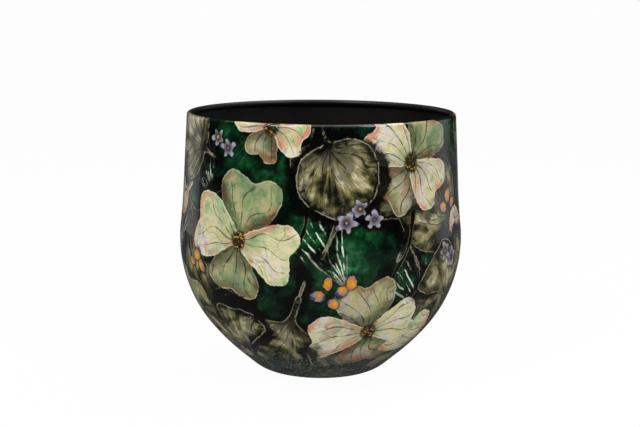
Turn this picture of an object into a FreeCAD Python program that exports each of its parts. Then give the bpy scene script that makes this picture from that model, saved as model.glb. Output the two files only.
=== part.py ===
"""A round sheet-steel cachepot, in millimetres, with +Z up and its origin on the floor at its centre.

The pot is turned about Z. Its bowl is one deep-drawn sheet with a flat foot. A rolled band of the
same sheet slips over a joggled lip at the top of the bowl, where the pot has its slight waist, and
is seam-welded there. The top of the band is curled inwards over a steel wire, which makes the thick
round rim. Four soft pads under the foot keep the steel off the furniture.
"""

import FreeCAD
import Part
import math
import os

from FreeCAD import Vector

# Sheet and wire
sheet = 0.9
rim_wire_diameter = 2.8
rim_wire_clearance = 0.15
curl_tuck_gap = 0.3

# Outer outline of the bowl, from the foot up
foot_diameter = 76.0
heel_radius = 31.5
flank_angle = 40.4
flank_length = 14.7
bowl_radius = 199.0
bowl_end_angle = 50.0
belly_radius = 115.0
lean_angle = 96.4
waist_radius = 500.0
wall_angle = 92.94

# Lap joint between the bowl and the band
joggle_bend_radius = 3.0
lap_length = 7.0
lap_clearance = 0.05

# Band, from the joint up to the curl
band_length = 58.2

# Raised middle of the foot
panel_height = 2.0
panel_bend_radius = 3.0

# Foot pads
pad_count = 4
pad_diameter = 12.0
pad_thickness = 1.5
pad_margin = 2.0

FULL_TURN = 360.0
LEVEL = 0.0
AXIS = Vector(0, 0, 1)
ORIGIN = Vector(0, 0, 0)


class Place:
    """A point of a turned outline, as radius and height, and the way the outline runs there.

    The heading is in degrees from straight outwards, so 90 is straight up. The pot's inside is
    always on the left of the outline.
    """

    def __init__(self, radius, height, heading):
        self.radius = radius
        self.height = height
        self.heading = heading

    def ahead(self, distance):
        """The place that lies a distance further on, straight along the heading."""
        turn = math.radians(self.heading)
        return Place(self.radius + distance * math.cos(turn),
                     self.height + distance * math.sin(turn), self.heading)

    def inside(self, distance):
        """The place that lies a distance to the left, square to the heading."""
        turn = math.radians(self.heading)
        return Place(self.radius - distance * math.sin(turn),
                     self.height + distance * math.cos(turn), self.heading)

    def point(self):
        """The place as a point of the XZ plane."""
        return Vector(self.radius, 0, self.height)


class Outline:
    """A chain of straight runs and tangent arcs, which can be drawn again further inside."""

    def __init__(self, start):
        self.runs = []
        self.start = start
        self.end = start

    def line(self, length):
        """Adds a straight run."""
        start = self.end
        self.end = start.ahead(length)
        self.runs.append((start, self.end))

    def arc(self, radius, heading):
        """Adds an arc that turns to a new heading."""
        start = self.end
        side = math.copysign(radius, heading - start.heading)
        centre = start.inside(side)
        middle = Place(centre.radius, centre.height, (start.heading + heading) / 2).inside(-side)
        self.end = Place(centre.radius, centre.height, heading).inside(-side)
        self.runs.append((start, middle, self.end))

    def step(self, shift, bend_radius):
        """Adds the S-bend that sets sheet over to the left, or to the right for a negative shift."""
        heading = self.end.heading
        turn = math.degrees(math.acos(1 - abs(shift) / (2 * bend_radius + sheet)))
        self.arc(bend_radius, heading + math.copysign(turn, shift))
        self.arc(bend_radius + sheet, heading)

    def edges(self, depth):
        """The chain as edges, drawn at a depth inside the outline."""
        made = []
        for run in self.runs:
            points = [place.inside(depth).point() for place in run]
            curve = Part.LineSegment(*points) if len(points) == 2 else Part.Arc(*points)
            made.append(curve.toShape())
        return made


def step_run(shift, bend_radius):
    """How far on an S-bend ends."""
    reach = 2 * bend_radius + sheet
    return math.sqrt(reach ** 2 - (reach - shift) ** 2)


def joined(*points):
    """Straight edges through a row of points."""
    return [Part.LineSegment(a, b).toShape() for a, b in zip(points, points[1:])]


def turned(edges):
    """The solid that a closed ring of edges sweeps in a full turn about Z."""
    wire = Part.Wire(Part.__sortEdges__(edges))
    return Part.Face(wire).revolve(ORIGIN, AXIS, FULL_TURN)


foot_radius = foot_diameter / 2
pad_radius = pad_diameter / 2
pad_circle_radius = foot_radius - pad_margin - pad_radius
joggle_depth = sheet + lap_clearance
bead_radius = rim_wire_diameter / 2 + rim_wire_clearance + sheet


def bowl_outline():
    """The bowl's outer face, from the middle of the foot to the start of its joggle."""
    pads_inner_radius = pad_circle_radius - pad_radius - pad_margin
    outline = Outline(Place(0, pad_thickness + panel_height, LEVEL))
    outline.line(pads_inner_radius - step_run(panel_height, panel_bend_radius))
    outline.step(-panel_height, panel_bend_radius)
    outline.line(foot_radius - pads_inner_radius)
    outline.arc(heel_radius, flank_angle)
    outline.line(flank_length)
    outline.arc(bowl_radius, bowl_end_angle)
    outline.arc(belly_radius, lean_angle)
    outline.arc(waist_radius, wall_angle)
    return outline


def bowl(outline, seam):
    """The drawn bowl, with the lip that is joggled inwards to go inside the band."""
    lip = Outline(outline.end.inside(sheet))
    lip.step(joggle_depth, joggle_bend_radius)
    lip.line(lap_length)
    outside = joined(outline.end.point(), seam.point(), seam.inside(joggle_depth).point(),
                     seam.inside(joggle_depth).ahead(lap_length).point(), lip.end.point())
    middle = joined(outline.start.point(), outline.start.inside(sheet).point())
    return turned(outline.edges(0) + outside + lip.edges(0) + outline.edges(sheet) + middle)


def band_outline(seam):
    """The band's outer face, from the seam up and round the curl until its edge is tucked in."""
    outline = Outline(seam)
    outline.line(band_length)
    left_open = math.degrees(math.acos(1 - (sheet + curl_tuck_gap) / bead_radius))
    outline.arc(bead_radius, wall_angle + FULL_TURN - left_open)
    return outline


def wall_band(outline):
    """The rolled band, with its curled top."""
    bottom = joined(outline.start.point(), outline.start.inside(sheet).point())
    edge = joined(outline.end.point(), outline.end.inside(sheet).point())
    return turned(outline.edges(0) + edge + outline.edges(sheet) + bottom)


def rim_wire(wall_top):
    """The wire ring that the rim is curled over."""
    middle = wall_top.inside(bead_radius)
    return Part.makeTorus(middle.radius, rim_wire_diameter / 2, Vector(0, 0, middle.height), AXIS)


def foot_pad(turn):
    """One soft die-cut disc, stuck under the foot at a turn about Z."""
    pad = Part.makeCylinder(pad_radius, pad_thickness)
    pad.translate(Vector(pad_circle_radius, 0, 0))
    pad.rotate(ORIGIN, AXIS, turn)
    return pad


def pieces():
    """Every piece of the pot, by name."""
    bowl_face = bowl_outline()
    seam = bowl_face.end.ahead(step_run(joggle_depth, joggle_bend_radius))
    band_face = band_outline(seam)
    wall_top = band_face.runs[0][1]
    made = {
        "bowl": bowl(bowl_face, seam),
        "wall_band": wall_band(band_face),
        "rim_wire": rim_wire(wall_top),
    }
    quarter = FULL_TURN / pad_count
    for number in range(pad_count):
        made[f"foot_pad_{number + 1}"] = foot_pad(quarter / 2 + number * quarter)
    return made


os.makedirs("parts", exist_ok=True)
for name, shape in pieces().items():
    shape.exportStep(f"parts/{name}.step")
    box = shape.optimalBoundingBox()
    print(f"{name}: {box.XLength:.2f} wide, from {box.ZMin:.2f} to {box.ZMax:.2f} high")
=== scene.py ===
"""A round sheet-steel cachepot, printed with pale blossoms and olive leaves under gloss lacquer."""

import math

import bmesh
import bpy
import numpy as np
from mathutils import Matrix, Vector


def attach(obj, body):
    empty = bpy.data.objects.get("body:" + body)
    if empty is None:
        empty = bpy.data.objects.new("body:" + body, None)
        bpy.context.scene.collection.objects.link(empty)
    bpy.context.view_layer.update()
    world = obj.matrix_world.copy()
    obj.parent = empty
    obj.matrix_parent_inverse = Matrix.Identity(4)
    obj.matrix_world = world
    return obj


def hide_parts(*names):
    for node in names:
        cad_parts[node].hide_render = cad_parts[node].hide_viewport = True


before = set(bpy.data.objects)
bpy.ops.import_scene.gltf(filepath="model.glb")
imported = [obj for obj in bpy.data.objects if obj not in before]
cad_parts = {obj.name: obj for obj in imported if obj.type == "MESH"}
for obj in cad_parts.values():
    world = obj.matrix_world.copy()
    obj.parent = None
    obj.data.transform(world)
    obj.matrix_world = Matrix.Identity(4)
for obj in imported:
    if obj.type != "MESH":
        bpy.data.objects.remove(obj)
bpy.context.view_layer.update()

# The studio: a camera a good metre off, looking slightly down into the pot, on a sweep of paper
# that runs out to white. Soft boxes light the pot from both sides and from above, and black cloth
# all round the set keeps its gloss dark. Places and sizes are in metres, angles in degrees.
CAMERA_PLACE = (-0.0006, -1.2669, 0.3437)
CAMERA_PITCH = 9.35
CAMERA_ROLL = 0.42
CAMERA_LENS = 84.375
CAMERA_SENSOR = 36
CAMERA_NEAR = 0.05
SHARP_CORNER = 38


def linear(colour):
    """An sRGB hex colour as linear RGBA."""
    parts = [int(colour[i:i + 2], 16) / 255 for i in (1, 3, 5)]
    return [c / 12.92 if c <= 0.04045 else ((c + 0.055) / 1.055) ** 2.4 for c in parts] + [1.0]


def add(tree, kind, inputs=(), out=0, stops=(), **settings):
    """Adds one shader node with its settings, sets or links its inputs, and gives back an output.

    Inputs go by a socket's name or number. A Map Range takes its value at 0, from 1 to 2, and gives
    it from 3 to 4. A Mix has its share at 0 and its two sides at 2 and 3, or at 6 and 7 for
    colours. A colour is an sRGB hex value, and stops are a colour ramp's.
    """
    node = tree.nodes.new("ShaderNode" + kind)
    if stops:
        ramp = node.color_ramp.elements
        for end in (0, -1):
            ramp[end].position, ramp[end].color = stops[end][0], linear(stops[end][1])
        for place, colour in stops[1:-1]:
            ramp.new(place).color = linear(colour)
    for name, value in settings.items():
        setattr(node, name, value)
    for socket, value in dict(inputs).items():
        if isinstance(value, bpy.types.NodeSocket):
            tree.links.new(value, node.inputs[socket])
        else:
            node.inputs[socket].default_value = linear(value) if isinstance(value, str) else value
    return node.outputs if out is None else node.outputs[out]


def new_material(name):
    """A material with an empty node tree."""
    material = bpy.data.materials.new(name)
    material.use_nodes = True
    material.node_tree.nodes.clear()
    return material


def add_piece(bm, name):
    """Makes a bmesh an object in the scene, smooth but for its sharp corners."""
    mesh = bpy.data.meshes.new(name)
    bm.to_mesh(mesh)
    bm.free()
    mesh.shade_smooth()
    mesh.set_sharp_from_angle(angle=math.radians(SHARP_CORNER))
    piece = bpy.data.objects.new(name, mesh)
    bpy.context.scene.collection.objects.link(piece)
    return piece


camera = bpy.data.objects.new("camera", bpy.data.cameras.new("camera"))
camera.data.lens = CAMERA_LENS
camera.data.sensor_width = CAMERA_SENSOR
camera.data.clip_start = CAMERA_NEAR
camera.matrix_world = (Matrix.Translation(CAMERA_PLACE)
                       @ Matrix.Rotation(math.radians(90 - CAMERA_PITCH), 4, "X")
                       @ Matrix.Rotation(math.radians(CAMERA_ROLL), 4, "Z"))
bpy.context.scene.collection.objects.link(camera)
bpy.context.scene.camera = camera
bpy.context.scene.view_settings.view_transform = "Standard"

# The camera and the pot's gloss see a white backdrop, which lights the pot less than it shows.
AMBIENT, BACKDROP = 0.42, 0.985
world = bpy.data.worlds.new("studio")
bpy.context.scene.world = world
world.use_nodes = True
tree = world.node_tree
tree.nodes.clear()
sight = add(tree, "LightPath", out=None)
seen = add(tree, "Math", {0: sight["Is Camera Ray"], 1: sight["Is Glossy Ray"]},
           operation="MAXIMUM")
level = add(tree, "MapRange", {0: seen, 3: AMBIENT, 4: BACKDROP})
sky = add(tree, "Background", {0: "#ffffff", 1: level})
add(tree, "OutputWorld", {0: sky}, out=None)

# The paper: the camera sees it almost washed out to white, with a trace of the pot's shadow. In the
# pot's gloss it is nearly black, and a little paler further from the pot's foot.
PAPER_HALF = 8
WASHED_OUT = 0.97
MIRROR_FROM, MIRROR_TO = 0.045, 0.20
MIRROR_DARK, MIRROR_PALE = 0.055, 0.075
bm = bmesh.new()
bmesh.ops.create_grid(bm, x_segments=1, y_segments=1, size=PAPER_HALF)
floor = add_piece(bm, "floor")
paper = new_material("white_paper_sweep")
tree = paper.node_tree
sight = add(tree, "LightPath", out=None)
matt = add(tree, "BsdfDiffuse", {0: "#f4f4f4"})
white = add(tree, "Emission", {0: "#ffffff", 1: 1.0})
away = add(tree, "VectorMath", {0: add(tree, "TexCoord", out=3)}, out=1, operation="LENGTH")
mirrored_level = add(tree, "MapRange", {
    0: away, 1: MIRROR_FROM, 2: MIRROR_TO, 3: MIRROR_DARK, 4: MIRROR_PALE},
    interpolation_type="SMOOTHERSTEP")
in_gloss = add(tree, "Emission", {0: "#ffffff", 1: mirrored_level})
shown = add(tree, "MixShader", {0: sight["Is Glossy Ray"], 1: matt, 2: in_gloss})
kept_white = add(tree, "Math", {0: sight["Is Camera Ray"], 1: WASHED_OUT}, operation="MULTIPLY")
shown = add(tree, "MixShader", {0: kept_white, 1: shown, 2: white})
add(tree, "OutputMaterial", {0: shown}, out=None)
floor.data.materials.append(paper)


def soft_box(name, place, aim, size, radiance, beam=180):
    """A softbox of a size in metres, whose cloth shows at a radiance where white is 1.

    A beam narrower than 180 degrees makes the box fade out towards its edges.
    """
    lamp = bpy.data.lights.new(name, "AREA")
    lamp.shape = "RECTANGLE"
    lamp.size, lamp.size_y = size
    lamp.energy = radiance * math.pi * size[0] * size[1]
    lamp.spread = math.radians(beam)
    box = bpy.data.objects.new(name, lamp)
    box.location = place
    box.rotation_mode = "QUATERNION"
    box.rotation_quaternion = (Vector(aim) - Vector(place)).to_track_quat("-Z", "Y")
    bpy.context.scene.collection.objects.link(box)


# The key and the fill light the front, the top box the rim and the far wall, and the two edge
# boxes only draw a faint line of light down the sides.
EDGE_SIZE, EDGE_GLOW, EDGE_BEAM = (0.7, 0.8), 0.06, 50
soft_box("key_box", (-0.75, -1.0, 1.25), (0, 0, 0.12), (0.45, 0.45), 19.0)
soft_box("fill_box", (0.95, -0.85, 1.1), (0, 0, 0.12), (0.5, 0.5), 8.2)
soft_box("top_box", (0.55, 0.35, 1.4), (0, 0, 0.1), (0.8, 0.6), 3.3)
soft_box("left_edge_box", (-0.80, 0.72, 0.32), (0, 0, 0.14), EDGE_SIZE, EDGE_GLOW, EDGE_BEAM)
soft_box("right_edge_box", (0.98, 0.52, 0.28), (0, 0, 0.12), EDGE_SIZE, EDGE_GLOW, EDGE_BEAM)

# The black cloth hangs round the set, where only the pot's gloss sees it.
CLOTH_RADIUS, CLOTH_HEIGHT, CLOTH_SIDES = 2.2, 2.4, 48
bm = bmesh.new()
bmesh.ops.create_cone(bm, cap_ends=False, segments=CLOTH_SIDES, radius1=CLOTH_RADIUS,
                      radius2=CLOTH_RADIUS, depth=CLOTH_HEIGHT,
                      matrix=Matrix.Translation((0, 0, CLOTH_HEIGHT / 2)))
flags = add_piece(bm, "black_flags")
cloth = new_material("black_cloth")
tree = cloth.node_tree
add(tree, "OutputMaterial", {0: add(tree, "BsdfDiffuse", {0: "#0c0c0c"})}, out=None)
flags.data.materials.append(cloth)
flags.visible_camera = flags.visible_diffuse = flags.visible_shadow = False
flags.visible_transmission = False

# The bowl: 0.9 mm steel sheet, deep drawn from one round blank, with a flat foot that is pressed
# up in the middle and a lip that is joggled inwards to go up inside the band. It is painted black
# all over. Sizes are in mm, as on the drawing; an arc is a radius and the heading it ends at.
SHEET = 0.9
FOOT_RADIUS = 38.0
FOOT_HEIGHT = 1.5
PANEL_RADIUS = 22.0
PANEL_HEIGHT = 2.0
PANEL_BEND = 3.0
HEEL = (31.5, 40.4)
FLANK = 14.7
BOWL = (199.0, 50.0)
BELLY = (115.0, 96.4)
WAIST = (500.0, 92.94)
LAP = 7.0
LAP_GAP = 0.05
JOGGLE = SHEET + LAP_GAP
JOGGLE_BEND = 3.0

# The mesh: mm between its rows, rows to a bend's radius, and how its full turn is made up. Each
# point has one of two coats, and points nearer than MERGED become one.
FINE_ROW, WIDE_ROW = 1.7, 5.0
BEND_ROWS = 4
WEDGES, WEDGE_STEPS = 22, 20
PRINTED, BLACK = 1.0, 0.0
MERGED = 0.01
MM_PER_M = 1000


def step_run(shift, bend):
    """How far on an S-bend of the sheet ends."""
    reach = 2 * bend + SHEET
    return math.sqrt(reach ** 2 - (reach - shift) ** 2)


class Pen:
    """Draws one face of a turned sheet in a bmesh, from point to point in the XZ plane.

    The heading is in degrees from straight outwards. The pot's inside is on the left, and an arc is
    drawn at the pen's own depth inside the outer face. Each point keeps how far up the sheet it
    lies and which coat it has.
    """

    def __init__(self, bm, place, heading=0.0, run=0.0, depth=0.0, row=FINE_ROW, coat=BLACK):
        self.bm, self.heading, self.run = bm, heading, run
        self.depth, self.row, self.coat = depth, row, coat
        self.points = []
        way = math.radians(heading)
        start = (place[0] - depth * math.sin(way), 0, place[1] + depth * math.cos(way))
        self.mark(bmesh.ops.create_vert(bm, co=start)["vert"][0])

    def mark(self, tip):
        """Takes a new vertex as the face's next point."""
        self.tip = tip
        self.points.append(tip)
        tip[self.bm.verts.layers.float["run"]] = self.run
        tip[self.bm.verts.layers.float["coat"]] = self.coat

    def ahead(self, distance, turn=0):
        """The way to a place a distance off, straight ahead or at a turn from it."""
        way = math.radians(self.heading + turn)
        return Vector((distance * math.cos(way), 0, distance * math.sin(way)))

    def line(self, length, turn=0):
        """A straight run along the heading, or at a turn from it."""
        rows = max(1, round(length / self.row))
        for _ in range(rows):
            tip = bmesh.ops.extrude_vert_indiv(self.bm, verts=[self.tip])["verts"][0]
            bmesh.ops.translate(self.bm, verts=[tip], vec=self.ahead(length / rows, turn))
            self.run += length / rows
            self.mark(tip)

    def arc(self, radius, heading, row=None):
        """An arc that turns to a new heading, with the radius of the outer face."""
        turn = math.radians(heading - self.heading)
        centre = self.tip.co + self.ahead(math.copysign(radius, turn) - self.depth, 90)
        rows = max(1, round(abs(turn) * radius / (row or self.row)))
        for _ in range(rows):
            last = bmesh.ops.spin(self.bm, geom=[self.tip], cent=centre, axis=(0, -1, 0),
                                  angle=turn / rows, steps=1)["geom_last"]
            self.run += abs(turn) * radius / rows
            self.mark(next(part for part in last if isinstance(part, bmesh.types.BMVert)))
        self.heading = heading

    def step(self, shift, bend):
        """The S-bend that sets the sheet over."""
        turn = math.degrees(math.acos(1 - abs(shift) / (2 * bend + SHEET)))
        level = self.heading
        self.arc(bend, level + math.copysign(turn, shift), bend / BEND_ROWS)
        self.arc(bend + SHEET, level, bend / BEND_ROWS)

    def follow(self, other):
        """Numbers this face's run back from its end, on from where the other face ended."""
        run = self.bm.verts.layers.float["run"]
        for point in self.points:
            point[run] = other.run + SHEET + self.run - point[run]


def new_profile():
    """An empty bmesh whose points keep their run up the sheet and their coat."""
    bm = bmesh.new()
    bm.verts.layers.float.new("run")
    bm.verts.layers.float.new("coat")
    return bm


def turned(bm, name):
    """Turns a profile round the pot's axis and makes it a piece, in metres.

    One wedge is spun and then copied round, because one long spin takes half a minute.
    """
    bmesh.ops.spin(bm, geom=bm.verts[:] + bm.edges[:], cent=(0, 0, 0), axis=(0, 0, 1),
                   angle=math.tau / WEDGES, steps=WEDGE_STEPS)
    bmesh.ops.spin(bm, geom=bm.verts[:] + bm.edges[:] + bm.faces[:], cent=(0, 0, 0), axis=(0, 0, 1),
                   angle=math.tau * (1 - 1 / WEDGES), steps=WEDGES - 1, use_duplicate=True)
    bmesh.ops.remove_doubles(bm, verts=bm.verts, dist=MERGED)
    bmesh.ops.recalc_face_normals(bm, faces=bm.faces)
    bmesh.ops.scale(bm, vec=(1 / MM_PER_M,) * 3, verts=bm.verts)
    return add_piece(bm, name)


def draw_bowl(pen, coat=BLACK):
    """One face of the bowl, up to its joggle. Gives back the run at the edge of the foot."""
    pen.line(PANEL_RADIUS - step_run(PANEL_HEIGHT, PANEL_BEND))
    pen.step(-PANEL_HEIGHT, PANEL_BEND)
    pen.line(FOOT_RADIUS - PANEL_RADIUS)
    foot_run = pen.run
    pen.coat = coat
    pen.arc(*HEEL)
    pen.line(FLANK)
    pen.arc(*BOWL)
    pen.arc(*BELLY)
    pen.arc(*WAIST)
    return foot_run


bm = new_profile()
outer = Pen(bm, (0, FOOT_HEIGHT + PANEL_HEIGHT))
heel_run = draw_bowl(outer, PRINTED)
outer.line(step_run(JOGGLE, JOGGLE_BEND))
seam, seam_run = outer.tip.co.copy(), outer.run
outer.coat = BLACK
outer.line(JOGGLE, 90)
outer.line(LAP)
inner = Pen(bm, (0, FOOT_HEIGHT + PANEL_HEIGHT), depth=SHEET, row=WIDE_ROW)
draw_bowl(inner)
inner.depth = 0.0
inner.step(JOGGLE, JOGGLE_BEND)
inner.line(LAP)
inner.follow(outer)
bm.edges.new((outer.tip, inner.tip))
bowl_skin = turned(bm, "bowl_skin")

# Satin black powder paint: the eye sees a deep even black with broad soft highlights, a little
# cloudy, and close to a fine grain. The real grain is under half a mm, and is drawn coarser here.
POWDER_GRAIN, POWDER_CLOUD = 0.9, 45
POWDER_RELIEF = 0.06
SATIN = new_material("satin_black_paint")
tree = SATIN.node_tree
place = add(tree, "TexCoord", out=3)
grain = add(tree, "TexNoise", {"Vector": place, "Scale": MM_PER_M / POWDER_GRAIN, "Detail": 2.0})
cloudy = add(tree, "TexNoise", {"Vector": place, "Scale": MM_PER_M / POWDER_CLOUD, "Detail": 3.0})
black = add(tree, "ValToRGB", {0: cloudy}, stops=[(0.3, "#161615"), (0.7, "#1e1e1c")])
rough = add(tree, "MapRange", {0: cloudy, 1: 0.3, 2: 0.7, 3: 0.36, 4: 0.46})
relief = add(tree, "Bump", {"Height": grain, "Strength": 0.3,
                            "Distance": POWDER_RELIEF / MM_PER_M})
surface = add(tree, "BsdfPrincipled", {
    "Base Color": black, "Roughness": rough, "Specular IOR Level": 0.4, "Normal": relief})
add(tree, "OutputMaterial", {0: surface}, out=None)

bowl_skin.data.materials.append(SATIN)
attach(bowl_skin, "root")
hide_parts("bowl")

# The band: the same sheet, rolled to a slightly tapered ring and seam-welded over the bowl's lip.
# Its top is curled inwards over a steel wire, which makes the thick round rim. It is painted as
# the bowl is, and the print ends at the crest of the curl.
BAND = 58.2
LEAN = WAIST[1]
WIRE_THICKNESS = 2.8
WIRE_GAP = 0.15
BEAD = WIRE_THICKNESS / 2 + WIRE_GAP + SHEET
TUCK_GAP = 0.3
CREST = 180
TUCKED = LEAN + 360 - math.degrees(math.acos(1 - (SHEET + TUCK_GAP) / BEAD))
CREST_ROW, TUCK_ROW = 0.5, 0.8


def draw_band(pen):
    """One face of the band, from the seam up and round the curl."""
    pen.line(BAND)
    pen.arc(BEAD, CREST, CREST_ROW)
    pen.coat = BLACK
    pen.arc(BEAD, TUCKED, TUCK_ROW)


bm = new_profile()
outer = Pen(bm, (seam.x, seam.z), LEAN, seam_run, coat=PRINTED)
draw_band(outer)
inner = Pen(bm, (seam.x, seam.z), LEAN, seam_run, depth=SHEET, row=WIDE_ROW)
draw_band(inner)
inner.follow(outer)
bm.edges.new((outer.tip, inner.tip))
bm.edges.new((outer.points[0], inner.points[0]))
band_skin = turned(bm, "band_skin")

band_skin.data.materials.append(SATIN)
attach(band_skin, "root")
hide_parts("wall_band")

# The print: it lies on the bowl and the band as one picture, drawn round the whole pot. Pale
# blossoms, olive fans and round leaves, sprays, berries and small flowers stand on deep green.
# Each motif is an outline in millimetres, laid on the unrolled pot, in one of a few layers.
# In mm: the depth where no motif is, the radius under which a place has no angle of its own, what
# keeps a ray's angle steady at its root, and how far outside a motif its ink may run.
HIDDEN = -40.0
ON_AXIS = 0.01
ROOT_BLUNT = 0.3
INK_REACH = 12
# As shares of a motif's size: how far the hand strays, and the root where it doesn't.
HAND_STRAYS, ROOT_KEPT = 0.022, 0.08
# The flat layout for baked pictures of the print, as shares of its height and width. A face that
# closes the sheet's lower edge spans more than CLOSING_JUMP of run, and is laid just below its low
# side.
PRINTED_SHARE = 0.78
UNROLL_MARGIN = 0.004
CLOSING_JUMP = 15.0


class Skin:
    """Where the corners and the faces of a piece lie on the unrolled pot.

    Angles are in degrees round from the front, runs in millimetres up from the foot's edge.
    """

    def __init__(self, piece):
        self.mesh = piece.data
        at = np.empty(len(self.mesh.loops), int)
        self.mesh.loops.foreach_get("vertex_index", at)
        place = np.empty(3 * len(self.mesh.vertices))
        self.mesh.vertices.foreach_get("co", place)
        x, y, _ = (MM_PER_M * place.reshape(-1, 3)[at]).T
        self.starts = np.empty(len(self.mesh.polygons), int)
        self.mesh.polygons.foreach_get("loop_start", self.starts)
        corners = np.diff(np.append(self.starts, len(at)))
        self.face = np.repeat(np.arange(len(self.starts)), corners)
        self.run = self.read("run")[at] - heel_run
        self.printed = self.middle(self.read("coat")[at]) == PRINTED
        self.radius = np.hypot(x, y)
        middle = np.degrees(np.arctan2(self.middle(x), -self.middle(y)))
        turn = middle[self.face]
        angle = np.where(self.radius < ON_AXIS, turn, np.degrees(np.arctan2(x, -y)))
        self.angle = turn + (angle - turn + 180) % 360 - 180
        self.centres = middle, self.middle(self.run), self.middle(self.radius)
        self.corners = self.angle, self.run, self.radius

    def middle(self, values):
        """The mean of a value over each face's corners."""
        return np.add.reduceat(values, self.starts) / np.bincount(self.face)

    def read(self, name):
        """A value that each vertex of the mesh keeps."""
        values = np.empty(len(self.mesh.vertices))
        self.mesh.attributes[name].data.foreach_get("value", values)
        return values

    def keep(self, name, values):
        """Keeps a number or three for each corner in the mesh."""
        kind, key = ("FLOAT_VECTOR", "vector") if values.ndim > 1 else ("FLOAT", "value")
        self.mesh.attributes.new(name, kind, "CORNER").data.foreach_set(key, values.ravel())

    def unroll(self):
        """Lays the piece out flat for baked pictures, its back half over its front half."""
        lowest = np.minimum.reduceat(self.run, self.starts)[self.face]
        run = np.where(self.run > lowest + CLOSING_JUMP, lowest - SHEET, self.run)
        ends = run.min(), run[self.printed[self.face]].max(), run.max()
        up = np.interp(run, ends, (UNROLL_MARGIN, PRINTED_SHARE, 1 - UNROLL_MARGIN))
        turn = self.centres[0][self.face]
        back = np.abs(turn) > 90
        across = np.where(back, self.angle + (turn % 360 - turn) - 180, self.angle) / 180
        across = 0.5 + across * (1 - 2 * UNROLL_MARGIN)
        layout = self.mesh.uv_layers.new(name="OFBake")
        layout.data.foreach_set("uv", np.column_stack((across, (up + back) / 2)).ravel())


def rounded(points, closed=True):
    """Rounds a drawn line by cutting its corners twice, a quarter along each side."""
    for _ in range(2):
        ahead = np.roll(points, -1, axis=0)
        cut = np.stack([0.75 * points + 0.25 * ahead, 0.25 * points + 0.75 * ahead], 1)
        points = cut.reshape(-1, 2) if closed else np.vstack(
            [points[:1], cut[:-1].reshape(-1, 2), points[-1:]])
    return points


def depth_inside(x, y, drawn, closed=True):
    """How far points lie inside an outline, negative outside, or how far off an open line."""
    start, end = (drawn, np.roll(drawn, -1, axis=0)) if closed else (drawn[:-1], drawn[1:])
    side = end - start
    off_x, off_y = x[:, None] - start[:, 0], y[:, None] - start[:, 1]
    along = np.clip((off_x * side[:, 0] + off_y * side[:, 1]) / (side ** 2).sum(1), 0, 1)
    away = np.hypot(off_x - along * side[:, 0], off_y - along * side[:, 1]).min(1)
    if not closed:
        return -away
    above = (start[:, 1] > y[:, None]) != (end[:, 1] > y[:, None])
    slant = side[:, 0] / np.where(side[:, 1] == 0, 1, side[:, 1])
    crossed = (above & (off_x < slant * off_y)).sum(1)
    return np.where(crossed % 2 == 1, away, -away)


class Motif:
    """One drawn shape on the pot: its place in degrees and mm, its turn, size in mm and tone.

    The hand strays a little from an outline, beyond its root, by a seed from the motif's place.
    An open line has half its width in line.
    """

    def __init__(self, drawn, angle, run, turn, size, tone=0.5, width=1.0, line=0.0):
        hand = np.random.default_rng(int(abs(angle) * 31 + run * 17 + abs(turn) * 7) + 1)
        points = np.array(drawn, float)
        if not line:
            points += hand.normal(0, HAND_STRAYS, points.shape) * (points[:, 1:] > ROOT_KEPT)
        self.drawn = rounded(points, closed=not line) * (size * width, size)
        self.angle, self.run, self.tone, self.line = angle, run, tone, line
        way = math.radians(turn)
        self.cos, self.sin = math.cos(way), math.sin(way)
        self.reach = np.hypot(*self.drawn.T).max() + INK_REACH

    def local(self, angle, run, radius):
        """Places on the pot in the motif's own millimetres."""
        x = np.radians((angle - self.angle + 180) % 360 - 180) * radius
        y = run - self.run
        return x * self.cos - y * self.sin, x * self.sin + y * self.cos

    def depth(self, x, y):
        """How far inside the motif places are."""
        return depth_inside(x, y, self.drawn, closed=not self.line) + self.line


def lay(skin, layer, motifs, rays=True):
    """Gives each printed face its nearest motif, and keeps that motif's own coordinates there.

    They are the angle and length of the ray from the motif's root, or plain x and y, and how deep
    inside the outline the place is.
    """
    centres = [values[skin.printed] for values in skin.centres]
    faces = np.flatnonzero(skin.printed)
    depth = np.full(len(faces), HIDDEN)
    chosen = np.full(len(skin.printed), -1)
    for number, motif in enumerate(motifs):
        x, y = motif.local(*centres)
        near = np.flatnonzero(np.hypot(x, y) < motif.reach)
        found = motif.depth(x[near], y[near])
        best = found > depth[near]
        depth[near[best]] = found[best]
        chosen[faces[near[best]]] = number
    values = np.tile((0.0, 0.0, HIDDEN), (len(skin.face), 1))
    tones = np.zeros(len(skin.face))
    order = np.argsort(chosen[skin.face], kind="stable")
    ends = np.searchsorted(chosen[skin.face][order], np.arange(len(motifs) + 1))
    for motif, start, end in zip(motifs, ends, ends[1:]):
        mine = order[start:end]
        x, y = motif.local(*(corner[mine] for corner in skin.corners))
        values[mine, 2] = motif.depth(x, y)
        values[mine, 0] = np.arctan2(x, np.abs(y) + ROOT_BLUNT) if rays else x
        values[mine, 1] = np.hypot(x, y) if rays else y
        tones[mine] = motif.tone
    skin.keep(layer, values)
    skin.keep(layer + "_tone", tones)


def mirrored(half):
    """An outline from its right half, drawn from the root to the tip."""
    return half + [(-x, y) for x, y in reversed(half) if x > 0]


def ring(radii):
    """A round outline through points at even turns, at their own radii."""
    turns = [number / len(radii) * math.tau for number in range(len(radii))]
    return [(radius * math.cos(turn), radius * math.sin(turn))
            for radius, turn in zip(radii, turns)]


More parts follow.
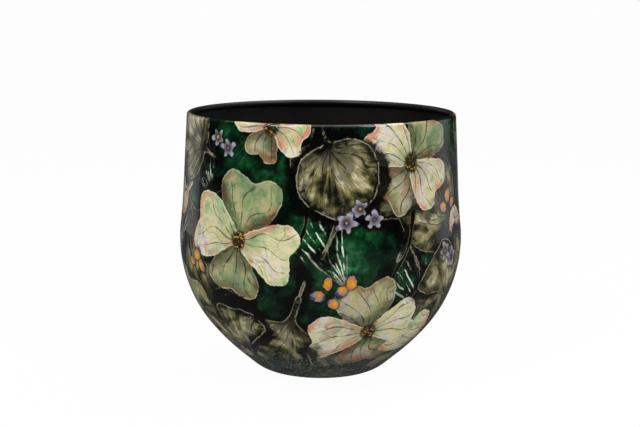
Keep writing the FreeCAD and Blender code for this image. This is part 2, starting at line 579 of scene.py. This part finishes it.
# The outlines, for motifs of size 1 whose root is at the origin
PETAL = mirrored([
    (0.0, 0.0), (0.09, 0.02), (0.19, 0.16), (0.34, 0.36), (0.48, 0.60), (0.53, 0.82), (0.44, 0.98),
    (0.28, 1.04), (0.13, 1.0), (0.0, 0.92)])
FAN = mirrored([
    (0.0, -0.52), (0.02, -0.50), (0.02, -0.3), (0.03, -0.04), (0.10, 0.08), (0.34, 0.16),
    (0.64, 0.24), (0.84, 0.36), (0.80, 0.58), (0.66, 0.70), (0.56, 0.80), (0.40, 0.82),
    (0.30, 0.93), (0.14, 0.90), (0.06, 0.84), (0.02, 0.62), (0.0, 0.56)])
ROUND_LEAF = mirrored([
    (0.0, -0.30), (0.02, -0.29), (0.02, -0.05), (0.18, -0.07), (0.42, 0.02), (0.58, 0.24),
    (0.58, 0.54), (0.43, 0.82), (0.20, 0.97), (0.0, 1.0)])
SPRAY = mirrored([
    (0.0, 0.0), (0.02, 0.0), (0.20, 0.42), (0.44, 0.74), (0.38, 0.86), (0.22, 0.96), (0.0, 1.0)])
BERRY = [(0.8 * x, (1.1 + 0.25 * (number % 3 == 1)) * y)
         for number, (x, y) in enumerate(ring([1.0] * 8))]
FLORET = ring([0.45, 0.9, 1.1, 0.8, 0.55, 1.0, 1.2, 1.0, 0.4, 0.8,
               1.0, 0.9, 0.5, 1.0, 1.15, 0.8, 0.42, 0.8, 1.0, 0.7])

# Degrees, mm up, turn, petal length, tone
BLOSSOMS = [
    (-33, 164, 14, 51, 0.35), (38, 226, 40, 45, 0.7), (22, 86, -12, 47, 0.9),
    (-88, 216, 30, 50, 0.2), (90, 150, 5, 56, 0.4), (66, 60, 30, 46, 0.6),
    (-76, 78, 20, 50, 0.8), (148, 205, 10, 56, 0.3), (136, 100, 33, 52, 0.7),
    (-146, 176, 22, 58, 0.5), (-116, 128, 0, 46, 0.1), (-164, 80, 12, 50, 0.9),
    (106, 242, 20, 36, 0.2), (-20, 256, 25, 31, 0.6),
]
# Outline, degrees, mm up, turn, size, tone
LEAVES_UNDER = [
    (FAN, -62, 180, 130, 72, 0.5), (FAN, 7, 184, 24, 66, 0.6),
    (ROUND_LEAF, 64, 176, -60, 70, 0.8), (FAN, -12, 100, 200, 76, 0.7),
    (FAN, 44, 132, 150, 66, 0.8), (ROUND_LEAF, -52, 112, 150, 62, 0.7),
    (FAN, -108, 196, -30, 66, 0.5), (FAN, 118, 184, 60, 62, 0.9),
    (FAN, 112, 92, 160, 60, 0.6), (FAN, 172, 150, -150, 66, 0.4),
    (FAN, -138, 108, 190, 60, 0.8), (FAN, -98, 58, 140, 50, 0.4),
    (FAN, 158, 50, 180, 48, 0.9), (ROUND_LEAF, 38, 38, 200, 44, 0.6),
]
LEAVES_TOP = [
    (ROUND_LEAF, -56, 234, -70, 64, 0.9), (FAN, 68, 106, -6, 60, 0.9),
    (FAN, -44, 54, -20, 56, 0.9), (ROUND_LEAF, 3, 240, 160, 58, 0.8),
    (FAN, -4, 36, 170, 46, 0.5), (ROUND_LEAF, 80, 228, 40, 50, 0.8),
    (ROUND_LEAF, -126, 228, 150, 56, 0.8), (FAN, 176, 108, 20, 60, 0.9),
    (ROUND_LEAF, -140, 56, 120, 46, 0.7), (FAN, 96, 44, -150, 46, 0.5),
]
# Degrees, mm up, turn, length, tone
SPRAYS = [
    (-8, 204, 12, 58, 0.5), (48, 98, -34, 58, 0.2), (-80, 140, 20, 58, 0.7),
    (110, 126, 30, 58, 0.4), (-120, 84, -20, 54, 0.6), (168, 176, 15, 60, 0.3),
    (-48, 192, -24, 54, 0.3), (30, 148, 46, 56, 0.8), (10, 128, -28, 60, 0.6),
]
# Degrees, mm up
BERRIES = [
    (3, 133), (8, 126), (-1, 122), (5, 116), (12, 134), (-57, 146), (-61, 139), (-54, 137),
    (62, 194), (67, 188), (58, 186), (116, 172), (121, 165), (112, 163), (-112, 178),
    (-107, 171), (172, 92), (176, 85), (167, 84), (-176, 140), (-171, 133), (-90, 112),
    (-86, 105), (88, 92), (93, 86),
]
FLORETS = [
    (15, 192), (21, 183), (10, 181), (-46, 244), (-40, 236), (-62, 62), (-54, 57), (58, 150),
    (64, 143), (128, 216), (134, 208), (-132, 142), (-126, 134), (180, 196), (-174, 188),
    (-94, 244), (104, 74),
]
# Degrees, mm up, turn, length, points from the root
STEMS = [
    (-6, 150, 0, 100, [(-0.3, -0.1), (-0.1, 0.05), (0.02, 0.28), (0.0, 0.55), (0.16, 0.85)]),
    (26, 120, 20, 90, [(0.0, -0.4), (0.06, -0.1), (-0.02, 0.2), (0.08, 0.5), (0.02, 0.8)]),
    (-58, 130, -14, 90, [(0.0, -0.6), (0.08, -0.3), (0.0, 0.0), (-0.1, 0.3), (-0.04, 0.7)]),
    (70, 170, 10, 90, [(0.0, -0.5), (-0.08, -0.2), (0.0, 0.1), (0.1, 0.4), (0.04, 0.7)]),
    (112, 140, -20, 100, [(0.0, -0.5), (0.1, -0.2), (0.02, 0.1), (-0.06, 0.4), (0.06, 0.8)]),
    (156, 130, 16, 110, [(0.0, -0.6), (-0.08, -0.3), (0.04, 0.0), (0.1, 0.4), (0.0, 0.8)]),
    (-130, 150, -10, 110, [(0.0, -0.6), (0.1, -0.2), (0.0, 0.1), (-0.08, 0.4), (0.06, 0.8)]),
    (-96, 130, 24, 90, [(0.0, -0.5), (-0.08, -0.2), (0.02, 0.2), (-0.02, 0.5), (0.1, 0.8)]),
]
STEM_HALF_WIDTH = 1.1

# A blossom's petals differ a little in size and tone.
PETALS = 4
PETAL_WIDTH = 1.1
UNEVEN = 0.06
TONE_STEP = 0.07


def petals(first):
    """Every second petal of each blossom, so that the others lie over or under them."""
    for angle, run, turn, size, tone in BLOSSOMS:
        for number in range(first, PETALS, 2):
            yield Motif(PETAL, angle, run, turn + number * 360 / PETALS,
                        size * (1 - UNEVEN * (number % 3)), tone + TONE_STEP * number,
                        width=PETAL_WIDTH - UNEVEN * (number % 2))


LAYERS = {
    "spray": [Motif(SPRAY, *spray) for spray in SPRAYS],
    "leaf_under": [Motif(*leaf) for leaf in LEAVES_UNDER],
    "stem": [Motif(points, *stem, line=STEM_HALF_WIDTH) for *stem, points in STEMS],
    "leaf_top": [Motif(*leaf) for leaf in LEAVES_TOP],
    "petal_under": list(petals(0)),
    "petal_top": list(petals(1)),
}
# Berries, florets and the blossoms' eyes share a layer, where their tone tells them apart. The
# berries are of three sizes, the florets too, and each is turned on from the last.
IS_BERRY, IS_EYE, IS_FLORET = 0.0, 0.5, 1.0
BERRY_SIZE, BERRY_GROWS, BERRY_TURN = 5.0, 0.6, 47
FLORET_SIZE, FLORET_TURN = 7.0, 20
EYE_SIZE = 7.0
ACCENTS = (
    [Motif(BERRY, angle, run, BERRY_TURN * number, BERRY_SIZE + number % 3 * BERRY_GROWS, IS_BERRY)
     for number, (angle, run) in enumerate(BERRIES)]
    + [Motif(FLORET, angle, run, FLORET_TURN * number, FLORET_SIZE + number % 3, IS_FLORET)
       for number, (angle, run) in enumerate(FLORETS)]
    + [Motif(BERRY, angle, run, 0, EYE_SIZE, IS_EYE) for angle, run, *_ in BLOSSOMS])

# The print's paint and lacquer: soft watercolour washes and black ink on the painted sheet, under
# one clear gloss coat. The eye sees matt colour a little way down, and small sharp reflections over
# it, which the coat's orange peel and the drawn sheet's faint upright ripple break up.
PRINT = new_material("printed_gloss_lacquer")
tree = PRINT.node_tree
place = add(tree, "TexCoord", out=3)


def clouds(size, detail, distortion=0.0):
    """Three unlike cloudy patterns, with blotches of a size in mm."""
    blotches = add(tree, "TexNoise", {"Vector": place, "Scale": MM_PER_M / size, "Detail": detail,
                                      "Distortion": distortion}, out=1)
    return add(tree, "SeparateColor", {0: blotches}, out=None)


# Patterns that the paint is made from, from broad clouds of 36 mm down to the frayed edge of a
# brush stroke at 2.4 mm
coarse = clouds(36, detail=2.0, distortion=0.4)
medium = clouds(11, detail=4.0, distortion=0.8)
fine = clouds(2.4, detail=3.0)
swaying = add(tree, "TexNoise", {"Vector": place, "Scale": MM_PER_M / 26, "Detail": 0.0}, out=1)
crumpled = add(tree, "TexNoise", {"Vector": place, "Scale": MM_PER_M / 10, "Detail": 6.0,
                                  "Roughness": 0.6, "Distortion": 2.2})
marbled = add(tree, "TexNoise", {"Vector": place, "Scale": MM_PER_M / 22, "Detail": 3.0,
                                 "Roughness": 0.45, "Distortion": 1.0})
slanted = add(tree, "Mapping", {"Vector": place, "Rotation": (0.4, 0.65, 0.0),
                                "Scale": (0.7, 0.7, 3.0)}, vector_type="TEXTURE")
brushed = add(tree, "TexNoise", {"Vector": slanted, "Scale": MM_PER_M / 8, "Detail": 6.0,
                                 "Roughness": 0.7, "Distortion": 0.7})

# The green ground: slanted brush strokes over blotches, with hard-edged blots of a darker glaze.
ground = add(tree, "Mix", {0: 0.42, 2: brushed, 3: medium[0]}, data_type="FLOAT")
ground = add(tree, "Mix", {0: 0.45, 2: ground, 3: coarse[0]}, data_type="FLOAT")
ground = add(tree, "MapRange", {0: ground, 1: 0.38, 2: 0.62})
colour = add(tree, "ValToRGB", {0: ground}, stops=[
    (0.0, "#010602"), (0.2, "#021508"), (0.42, "#042a14"), (0.62, "#07421f"), (0.8, "#0e5c2e"),
    (1.0, "#3c8455")])
glaze = add(tree, "MapRange", {0: coarse[1], 1: 0.5, 2: 0.504, 3: 0.0, 4: 0.55})
colour = add(tree, "Mix", {0: glaze, 6: colour, 7: "#01120a"}, out=2, data_type="RGBA")


def read_layer(layer):
    """A layer's own coordinates, as lay keeps them."""
    shape = add(tree, "Attribute", out=1, attribute_name=layer)
    return add(tree, "SeparateXYZ", {0: shape}, out=None)


def blurred(distance, *blurs):
    """A distance in mm that patterns move to and fro, each over so many mm in all."""
    for pattern, span in blurs:
        distance = add(tree, "Math", {0: pattern, 1: span, 2: distance}, operation="MULTIPLY_ADD")
    middle = sum(span for _, span in blurs) / 2
    return add(tree, "Math", {0: distance, 1: middle}, operation="SUBTRACT")


# Streaks and veins: how many there are to a radian of rays, how fast they change along a ray, to
# a mm, and by how many of their own spacings the veins sway. Outlines wander and fray by mm.
STREAKS, STREAK_CHANGE = 11.0, 0.06
VEINS, VEIN_CHANGE = 2.6, 1 / 36
VEIN_SWAY = (2.4, 1.6, 0)
VEIN_SHOWS, NET_SHOWS = 0.92, 0.42
WANDERS, FRAYS, BERRY_FRAYS = 4.0, 1.4, 2.4
HALO_INK, CREEPING_INK = "#020402", "#060704"

# Where each part of a wash starts and ends, in mm in from the ragged edge or out from the root
SHOWN_FROM, SHOWN_TO = -0.2, 0.3
HALO_FROM, HALO_TO = -9.6, -5.1
CREEP_FROM, CREEP_TO = -0.2, 4.3
MARGIN_FROM, MARGIN_TO = 2.0, 11.0
BLUSH_FROM, BLUSH_TO = 7.0, 1.5
RIM_FROM, RIM_TO = 1.1, 0.6
VEINS_FROM, VEINS_TO = 0.5, 4.0
ROOT_FROM, ROOT_TO = 3.0, 23.0


def washes(ray, reach, tone, grain, streaky, broad):
    """How light a wet wash has dried: streaks that run out along the rays, and blotches."""
    fanned = add(tree, "Math", {0: ray, 1: STREAKS}, operation="MULTIPLY")
    outward = add(tree, "Math", {0: reach, 1: STREAK_CHANGE}, operation="MULTIPLY")
    streaks = add(tree, "TexNoise", {
        "Vector": add(tree, "CombineXYZ", {0: fanned, 1: outward, 2: tone}),
        "Scale": 0.8, "Detail": 4.0, "Roughness": 0.6})
    wash = add(tree, "Mix", {0: streaky, 2: grain, 3: streaks}, data_type="FLOAT")
    wash = add(tree, "Mix", {0: broad, 2: wash, 3: coarse[0]}, data_type="FLOAT")
    wash = add(tree, "Math", {0: tone, 1: 0.09, 2: wash}, operation="MULTIPLY_ADD")
    return add(tree, "MapRange", {0: wash, 1: 0.45, 2: 0.65})


def veins(ray, reach, tone, edge):
    """How strongly veins show: thick ones along the rays, and a net of fine ones between them."""
    spread = add(tree, "CombineXYZ", {
        0: add(tree, "Math", {0: ray, 1: VEINS}, operation="MULTIPLY"),
        1: add(tree, "Math", {0: reach, 1: VEIN_CHANGE, 2: tone}, operation="MULTIPLY_ADD")})
    spread = add(tree, "VectorMath", {0: swaying, 1: VEIN_SWAY, 2: spread},
                 operation="MULTIPLY_ADD")
    off_vein = add(tree, "Math", {0: add(tree, "SeparateXYZ", {0: spread}), 1: 0.5},
                   operation="PINGPONG")
    off_vein = add(tree, "Math", {0: off_vein, 1: reach}, operation="MULTIPLY")
    width = add(tree, "MapRange", {0: medium[1], 1: 0.40, 2: 0.62, 3: 0.4, 4: 2.9})
    thick = add(tree, "MapRange", {0: off_vein, 1: 0.25, 2: width, 3: VEIN_SHOWS, 4: 0.0})
    off_net = add(tree, "TexVoronoi", {"Vector": spread, "Scale": 1.3}, voronoi_dimensions="2D",
                  feature="DISTANCE_TO_EDGE")
    width = add(tree, "MapRange", {0: medium[2], 1: 0.42, 2: 0.6, 3: 0.006, 4: 0.04})
    thin = add(tree, "MapRange", {0: off_net, 1: 0.004, 2: width, 3: NET_SHOWS, 4: 0.0})
    line = add(tree, "Math", {0: thick, 1: thin}, operation="MAXIMUM")
    inside = add(tree, "MapRange", {0: edge, 1: VEINS_FROM, 2: VEINS_TO})
    return add(tree, "Math", {0: line, 1: inside}, operation="MULTIPLY")


def washed(under, layer, hues, grain, streaky, broad, root, smudge, vein, rim, halo, ink,
           blush=None):
    """Lays one layer of watercolour shapes over what is painted so far.

    Each is a wet wash of several hues that runs out from its root, with smudges, forked veins and
    a thin broken rim. Black ink has bled out round it as a halo, and in over it.
    """
    ray, reach, depth = read_layer(layer)
    tone = add(tree, "Attribute", out=2, attribute_name=layer + "_tone")
    edge = blurred(depth, (medium[1], WANDERS), (fine[1], FRAYS))

    bled = add(tree, "MapRange", {0: blurred(edge, (coarse[2], 34.0), (crumpled, 12.0)),
                                  1: HALO_FROM, 2: HALO_TO, 3: 0.0, 4: halo})
    under = add(tree, "Mix", {0: bled, 6: under, 7: HALO_INK}, out=2, data_type="RGBA")

    paint = add(tree, "ValToRGB", {0: washes(ray, reach, tone, grain, streaky, broad)}, stops=hues)
    near = add(tree, "MapRange", {0: blurred(reach, (medium[0], 30.0)),
                                  1: ROOT_FROM, 2: ROOT_TO, 3: 0.8, 4: 0.0})
    paint = add(tree, "Mix", {0: near, 6: paint, 7: root}, out=2, data_type="RGBA")
    dabs = add(tree, "Mix", {0: 0.4, 2: grain, 3: coarse[2]}, data_type="FLOAT")
    dabs = add(tree, "MapRange", {0: dabs, 1: 0.54, 2: 0.62, 3: 0.0, 4: 0.75})
    paint = add(tree, "Mix", {0: dabs, 6: paint, 7: smudge}, out=2, data_type="RGBA")
    if blush:
        near = add(tree, "MapRange", {0: blurred(edge, (medium[2], 14.0)),
                                      1: BLUSH_FROM, 2: BLUSH_TO})
        patch = add(tree, "Mix", {0: 0.3, 2: coarse[1], 3: medium[1]}, data_type="FLOAT")
        patch = add(tree, "MapRange", {0: patch, 1: 0.49, 2: 0.54, 3: 0.0, 4: 0.85})
        near = add(tree, "Math", {0: near, 1: patch}, operation="MULTIPLY")
        paint = add(tree, "Mix", {0: near, 6: paint, 7: blush}, out=2, data_type="RGBA")
    paint = add(tree, "Mix", {0: veins(ray, reach, tone, edge), 6: paint, 7: vein},
                out=2, data_type="RGBA")

    if ink:
        margin = add(tree, "MapRange", {0: blurred(edge, (medium[2], 16.0)),
                                        1: MARGIN_FROM, 2: MARGIN_TO, 3: 0.77 * ink, 4: 0.0})
        paint = add(tree, "Mix", {0: margin, 6: paint, 7: root}, out=2, data_type="RGBA")
        creep = add(tree, "MapRange", {0: blurred(edge, (crumpled, -26.0), (coarse[2], -30.0)),
                                       1: CREEP_FROM, 2: CREEP_TO, 3: ink, 4: 0.0})
        paint = add(tree, "Mix", {0: creep, 6: paint, 7: CREEPING_INK}, out=2, data_type="RGBA")

    outline = add(tree, "MapRange", {0: edge, 1: RIM_FROM, 2: RIM_TO, 3: 0.0, 4: 0.8})
    broken = add(tree, "MapRange", {0: medium[0], 1: 0.40, 2: 0.50})
    outline = add(tree, "Math", {0: outline, 1: broken}, operation="MULTIPLY")
    paint = add(tree, "Mix", {0: outline, 6: paint, 7: rim}, out=2, data_type="RGBA")
    shown = add(tree, "MapRange", {0: edge, 1: SHOWN_FROM, 2: SHOWN_TO})
    return add(tree, "Mix", {0: shown, 6: under, 7: paint}, out=2, data_type="RGBA")


# Sprays of fine cream strokes, dragged dry over the green. They fan out from a root, so many to a
# radian of rays, bend by a few of their spacings, and break up along their length.
STROKES, STROKE_BEND, STROKE_CHANGE = 8.0, 2.0, 0.09
ray, reach, depth = read_layer("spray")
bent = add(tree, "Math", {0: ray, 1: STROKES}, operation="MULTIPLY")
bent = add(tree, "Math", {0: coarse[1], 1: STROKE_BEND, 2: bent}, operation="MULTIPLY_ADD")
off_stroke = add(tree, "Math", {0: bent, 1: 0.5}, operation="PINGPONG")
off_stroke = add(tree, "Math", {0: off_stroke, 1: reach}, operation="MULTIPLY")
dragged = add(tree, "TexNoise", {
    "Vector": add(tree, "CombineXYZ", {
        0: add(tree, "Math", {0: bent, 1: 0.5}, operation="ADD"),
        1: add(tree, "Math", {0: reach, 1: STROKE_CHANGE}, operation="MULTIPLY")}),
    "Scale": 1.0, "Detail": 2.0})
width = add(tree, "MapRange", {0: dragged, 1: 0.44, 2: 0.56, 3: 0.0, 4: 7.5})
stroke = add(tree, "Math", {0: width, 1: off_stroke}, operation="SUBTRACT")
stroke = add(tree, "MapRange", {0: stroke, 1: 0.0, 2: 1.8})
shown = add(tree, "MapRange", {0: depth, 1: -0.5, 2: 2.5})
stroke = add(tree, "Math", {0: stroke, 1: shown}, operation="MULTIPLY")
colour = add(tree, "Mix", {0: stroke, 6: colour, 7: "#d3d6c4"}, out=2, data_type="RGBA")

# Leaves, stems and petals, from the lowest layer up. The leaves are streaked olive, the petals a
# blotchy pale green and cream with a warm blush at the edge, and the lower petals are shaded.
OLIVE = [(0.0, "#12120a"), (0.18, "#2a2916"), (0.38, "#544f31"), (0.56, "#7c754d"),
         (0.74, "#9c946a"), (0.9, "#bab28c"), (1.0, "#d0c9a8")]
PALE = [(0.0, "#8ea87d"), (0.2, "#b0bf90"), (0.38, "#cbcb9c"), (0.55, "#dacd9c"),
        (0.7, "#e0d8bb"), (0.86, "#cfcac2"), (1.0, "#d5b292")]
SHADED = [(0.0, "#6d8a5d"), (0.2, "#8e9d6f"), (0.38, "#a7a778"), (0.55, "#b6aa7a"),
          (0.7, "#bdb492"), (0.86, "#aaa59b"), (1.0, "#b08d6e")]
LEAF_PAINT = {"hues": OLIVE, "grain": marbled, "streaky": 0.45, "broad": 0.15, "root": "#17170d",
              "smudge": "#3a3a24", "vein": "#0f0f08", "halo": 0.97}
PETAL_PAINT = {"grain": medium[0], "streaky": 0.3, "broad": 0.55, "halo": 0.5}
colour = washed(colour, "leaf_under", rim="#8f8d70", ink=0.97, **LEAF_PAINT)

depth = read_layer("stem")[2]
edge = blurred(depth, (medium[1], WANDERS))
skirt = add(tree, "MapRange", {0: edge, 1: -1.3, 2: -0.8, 3: 0.0, 4: 0.45})
colour = add(tree, "Mix", {0: skirt, 6: colour, 7: "#7c7a55"}, out=2, data_type="RGBA")
shown = add(tree, "MapRange", {0: edge, 1: -0.7, 2: -0.2})
colour = add(tree, "Mix", {0: shown, 6: colour, 7: "#0d0f08"}, out=2, data_type="RGBA")

colour = washed(colour, "petal_under", hues=SHADED, root="#6f7f4e", smudge="#7d9468",
                vein="#2b2818", rim="#b9bb9c", ink=0.35, blush="#b5714f", **PETAL_PAINT)
colour = washed(colour, "petal_top", hues=PALE, root="#8a9a66", smudge="#93ab80",
                vein="#332f1d", rim="#dcdcc4", ink=0.0, blush="#cd7d5c", **PETAL_PAINT)
colour = washed(colour, "leaf_top", rim="#a09d80", ink=0.95, **LEAF_PAINT)

# Berries with a lit side, blossom eyes dotted with pollen, and small flowers, each in a dark halo.
LIT_SIDE = (-1.2, 1.2, 0)
POLLEN = 2.2
x, y, depth = read_layer("accent")
tone = add(tree, "Attribute", out=2, attribute_name="accent_tone")
edge = blurred(depth, (fine[1], BERRY_FRAYS), (medium[1], WANDERS))
halo = add(tree, "MapRange", {0: edge, 1: -2.2, 2: -0.8, 3: 0.0, 4: 0.7})
colour = add(tree, "Mix", {0: halo, 6: colour, 7: "#0a0a10"}, out=2, data_type="RGBA")
spot = add(tree, "CombineXYZ", {0: x, 1: y})
shade = add(tree, "VectorMath", {0: spot, 1: LIT_SIDE}, out=1, operation="DISTANCE")
shade = add(tree, "MapRange", {0: blurred(shade, (medium[0], 14.0)), 1: -1.0, 2: 7.5})
berry = add(tree, "ValToRGB", {0: shade}, stops=[
    (0.0, "#e0a648"), (0.3, "#d28f2f"), (0.55, "#c17a24"), (0.68, "#8f8494"), (0.82, "#55526a"),
    (1.0, "#25243a")])
outward = add(tree, "VectorMath", {0: spot}, out=1, operation="LENGTH")
outward = add(tree, "MapRange", {0: blurred(outward, (medium[0], 6.0)), 1: 0.5, 2: 8.5})
floret = add(tree, "ValToRGB", {0: outward}, stops=[
    (0.0, "#b98238"), (0.11, "#2b2a35"), (0.34, "#5b5966"), (0.6, "#8c8993"), (0.82, "#aba8ad"),
    (1.0, "#6b6873")])
dots = add(tree, "TexVoronoi", {"Vector": place, "Scale": MM_PER_M / POLLEN})
eye = add(tree, "ValToRGB", {0: dots}, stops=[
    (0.0, "#e5ad4a"), (0.28, "#bf842e"), (0.4, "#3a3418"), (1.0, "#14160c")])
past_berry = add(tree, "Math", {0: tone, 1: (IS_BERRY + IS_EYE) / 2}, operation="GREATER_THAN")
past_eye = add(tree, "Math", {0: tone, 1: (IS_EYE + IS_FLORET) / 2}, operation="GREATER_THAN")
accent = add(tree, "Mix", {0: past_berry, 6: berry, 7: eye}, out=2, data_type="RGBA")
accent = add(tree, "Mix", {0: past_eye, 6: accent, 7: floret}, out=2, data_type="RGBA")
shown = add(tree, "MapRange", {0: edge, 1: SHOWN_FROM, 2: SHOWN_TO})
colour = add(tree, "Mix", {0: shown, 6: colour, 7: accent}, out=2, data_type="RGBA")

# Round the heel, a painted reflection of the pale floor: a grey veil with fine upright dashes and
# paler specks, thickest up to the full run below in mm from the foot's edge, gone at the top run.
FLOOR_REFLECTION, FLOOR_REFLECTION_FULL, FLOOR_REFLECTION_TOP = 0.72, 26, 74
DASH, DASH_SQUEEZE = 1.9, (1, 1, 0.35)
sheet_run = add(tree, "Attribute", out=2, attribute_name="run")
painted_reflection = add(tree, "MapRange", {
    0: sheet_run, 1: heel_run + FLOOR_REFLECTION_TOP, 2: heel_run + FLOOR_REFLECTION_FULL, 3: 0.0, 4: FLOOR_REFLECTION},
    interpolation_type="SMOOTHSTEP")
dashes = add(tree, "TexNoise", {
    "Vector": add(tree, "Mapping", {"Vector": place, "Scale": DASH_SQUEEZE}),
    "Scale": MM_PER_M / DASH, "Detail": 2.0})
uneven = add(tree, "MapRange", {0: dashes, 1: 0.38, 2: 0.62, 3: 0.5, 4: 1.3})
painted_reflection = add(tree, "Math", {0: painted_reflection, 1: uneven}, operation="MULTIPLY")
# Mixes in the painted floor reflection's grey, then its paler specks.
colour = add(tree, "Mix", {0: painted_reflection, 6: colour, 7: "#3c453f"}, out=2, data_type="RGBA")
reflection_specks = add(tree, "MapRange", {0: dashes, 1: 0.54, 2: 0.66, 3: 0.0, 4: 0.75})
reflection_specks = add(tree, "Math", {0: painted_reflection, 1: reflection_specks}, operation="MULTIPLY")
colour = add(tree, "Mix", {0: reflection_specks, 6: colour, 7: "#8d978e"}, out=2, data_type="RGBA")

# The clear coat: its orange peel, and the upright ripple that drawing leaves in the sheet, in mm.
PEEL, RIPPLE, RIPPLE_SQUEEZE = 2.6, 2.2, (1, 1, 0.12)
COAT_RELIEF = 0.12
peel = add(tree, "TexNoise", {"Vector": place, "Scale": MM_PER_M / PEEL, "Detail": 1.0})
ripple = add(tree, "TexNoise", {
    "Vector": add(tree, "Mapping", {"Vector": place, "Scale": RIPPLE_SQUEEZE}),
    "Scale": MM_PER_M / RIPPLE, "Detail": 2.0})
relief = add(tree, "Mix", {0: 0.5, 2: peel, 3: ripple}, data_type="FLOAT")
relief = add(tree, "Bump", {"Height": relief, "Strength": 0.4,
                            "Distance": COAT_RELIEF / MM_PER_M})
surface = add(tree, "BsdfPrincipled", {
    "Base Color": colour, "Roughness": 0.35, "Specular IOR Level": 0.15,
    "Coat Weight": 1.0, "Coat Roughness": 0.07, "Coat Normal": relief})
add(tree, "OutputMaterial", {0: surface}, out=None)

# The print goes on the outside of both pieces, over the black paint.
for piece in (bowl_skin, band_skin):
    skin = Skin(piece)
    for layer, motifs in LAYERS.items():
        lay(skin, layer, motifs)
    lay(skin, "accent", ACCENTS, rays=False)
    skin.unroll()
    piece.data.materials.append(PRINT)
    piece.data.polygons.foreach_set("material_index", skin.printed.astype(int))

# The rim wire: a ring of plain drawn steel that stiffens the mouth, held in the curl, which hides
# all of it but a thin line at the curl's edge. It is bright, with fine lines along it. They are
# drawn half a mm apart, coarser than the real ones, so that they show.
WIRE_LINES = 0.5
WIRE_RELIEF = 0.03
WIRE = new_material("drawn_steel_wire")
tree = WIRE.node_tree
along = add(tree, "Mapping", {"Vector": add(tree, "TexCoord", out=3), "Scale": (0.2, 0.2, 1.0)})
lines = add(tree, "TexNoise", {"Vector": along, "Scale": MM_PER_M / WIRE_LINES, "Detail": 2.0})
steel = add(tree, "ValToRGB", {0: lines}, stops=[(0.3, "#86868a"), (0.7, "#b4b4b8")])
rough = add(tree, "MapRange", {0: lines, 3: 0.28, 4: 0.5})
relief = add(tree, "Bump", {"Height": lines, "Strength": 0.3,
                            "Distance": WIRE_RELIEF / MM_PER_M})
surface = add(tree, "BsdfPrincipled", {
    "Base Color": steel, "Metallic": 1.0, "Roughness": rough, "Normal": relief})
add(tree, "OutputMaterial", {0: surface}, out=None)


def refinish(name, material):
    """Gives one of the drawing's own pieces a new material."""
    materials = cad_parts[name].data.materials
    materials.clear()
    materials.append(material)


refinish("rim_wire", WIRE)

# The foot pads: four soft discs, die-cut from foamed rubber sheet and stuck under the foot with
# their own adhesive, so that the steel doesn't scratch what it stands on. The eye sees a dull
# black full of half-millimetre cells, with no highlight.
PAD_COUNT = 4
CELL = 0.5
CELL_DEPTH = 0.1
FOAM = new_material("matt_foamed_rubber")
tree = FOAM.node_tree
place = add(tree, "TexCoord", out=3)
cells = add(tree, "TexVoronoi", {"Vector": place, "Scale": MM_PER_M / CELL})
black = add(tree, "ValToRGB", {0: cells}, stops=[(0.1, "#0b0b0b"), (0.5, "#1c1c1b")])
relief = add(tree, "Bump", {"Height": cells, "Strength": 0.5,
                            "Distance": CELL_DEPTH / MM_PER_M})
surface = add(tree, "BsdfPrincipled", {
    "Base Color": black, "Roughness": 0.9, "Specular IOR Level": 0.25, "Normal": relief})
add(tree, "OutputMaterial", {0: surface}, out=None)
for number in range(1, PAD_COUNT + 1):
    refinish(f"foot_pad_{number}", FOAM)
